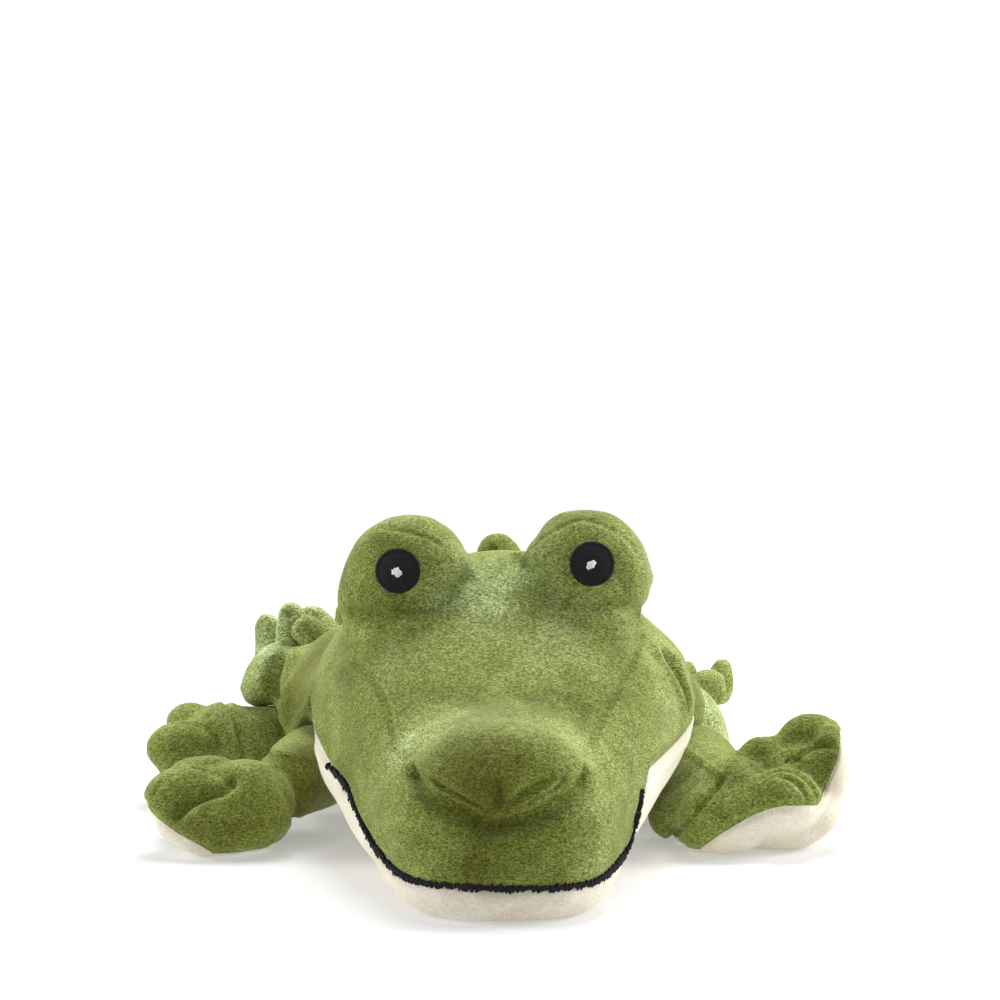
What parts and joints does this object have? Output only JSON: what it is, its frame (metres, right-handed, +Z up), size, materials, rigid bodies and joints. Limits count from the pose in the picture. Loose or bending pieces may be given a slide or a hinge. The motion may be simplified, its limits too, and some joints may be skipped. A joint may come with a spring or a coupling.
{
  "type": "plush crocodile",
  "caption": "stuffed plush crocodile lying on its belly, with raised embroidered eyes, a puffed nose, soft back spikes, padded feet and a curled tail",
  "frame": {"origin": "on the flat of the belly, in the plane of the surface that the toy lies on", "axes": "+Z up, the snout points to -Y, +X is the animal's own left"},
  "size_m": [0.2912, 0.4679, 0.1307],
  "materials": {
    "green_plush": "short-pile plush, brushed in patches",
    "cream_plush": "short-pile plush",
    "black_embroidery": "satin stitch in polyester thread",
    "white_embroidery": "satin stitch in polyester thread",
    "fibre_filling": "loose polyester fibre"
  },
  "bodies": {
    "trunk": {"trunk_back": "green_plush", "trunk_belly": "cream_plush", "trunk_filling": "fibre_filling", "neck_spike": "green_plush", "back_spike_left_1": "green_plush", "back_spike_left_2": "green_plush", "back_spike_left_3": "green_plush", "back_spike_left_4": "green_plush", "back_spike_right_1": "green_plush", "back_spike_right_2": "green_plush", "back_spike_right_3": "green_plush", "back_spike_right_4": "green_plush"},
    "head": {"head_top": "green_plush", "lower_jaw": "cream_plush", "head_filling": "fibre_filling", "mouth_stitching": "black_embroidery", "nose_pad": "green_plush", "eye_mound_left": "green_plush", "eye_left": "black_embroidery", "eye_glint_left": "white_embroidery", "eye_mound_right": "green_plush", "eye_right": "black_embroidery", "eye_glint_right": "white_embroidery"},
    "front_left_limb": {"front_left_leg": "green_plush", "front_left_foot": "green_plush", "front_left_sole": "cream_plush"},
    "front_right_limb": {"front_right_leg": "green_plush", "front_right_foot": "green_plush", "front_right_sole": "cream_plush"},
    "hind_left_limb": {"hind_left_leg": "green_plush", "hind_left_foot": "green_plush", "hind_left_sole": "cream_plush"},
    "hind_right_limb": {"hind_right_leg": "green_plush", "hind_right_foot": "green_plush", "hind_right_sole": "cream_plush"},
    "tail_base": {"tail_base_top": "green_plush", "tail_base_underside": "cream_plush", "tail_base_filling": "fibre_filling", "tail_base_spike_1": "green_plush", "tail_base_spike_2": "green_plush", "tail_base_spike_3": "green_plush", "tail_base_spike_4": "green_plush"},
    "tail_tip": {"tail_tip_top": "green_plush", "tail_tip_underside": "cream_plush", "tail_tip_filling": "fibre_filling", "tail_tip_spike_1": "green_plush", "tail_tip_spike_2": "green_plush", "tail_tip_spike_3": "green_plush", "tail_tip_spike_4": "green_plush", "tail_tip_spike_5": "green_plush", "tail_tip_spike_6": "green_plush"}
  },
  "joints": [
    {"name": "neck_turn", "type": "hinge", "parent": "trunk", "child": "head", "pos_m": [0, -0.062, 0.052], "axis": [0, 0, 1], "range_deg": [-10, 10]},
    {"name": "front_right_swing", "type": "hinge", "parent": "trunk", "child": "front_right_limb", "pos_m": [-0.07912, -0.01808, 0.019], "axis": [0, 0, -1], "range_deg": [-4, 24]},
    {"name": "front_left_swing", "type": "hinge", "parent": "trunk", "child": "front_left_limb", "pos_m": [0.07912, -0.01808, 0.019], "axis": [0, 0, 1], "range_deg": [-4, 24]},
    {"name": "hind_right_swing", "type": "hinge", "parent": "trunk", "child": "hind_right_limb", "pos_m": [-0.09016, 0.04405, 0.019], "axis": [0, 0, -1], "range_deg": [-2, 24]},
    {"name": "hind_left_swing", "type": "hinge", "parent": "trunk", "child": "hind_left_limb", "pos_m": [0.069, 0.05, 0.019], "axis": [0, 0, 1], "range_deg": [-18, 4]},
    {"name": "tail_swing", "type": "hinge", "parent": "trunk", "child": "tail_base", "pos_m": [-0.05999, 0.1107, 0.02604], "axis": [0, 0, 1], "range_deg": [-16, 16]},
    {"name": "tail_tip_swing", "type": "hinge", "parent": "tail_base", "child": "tail_tip", "pos_m": [-0.0169, 0.22425, 0.01722], "axis": [0, 0, 1], "range_deg": [-12, 16]}
  ]
}
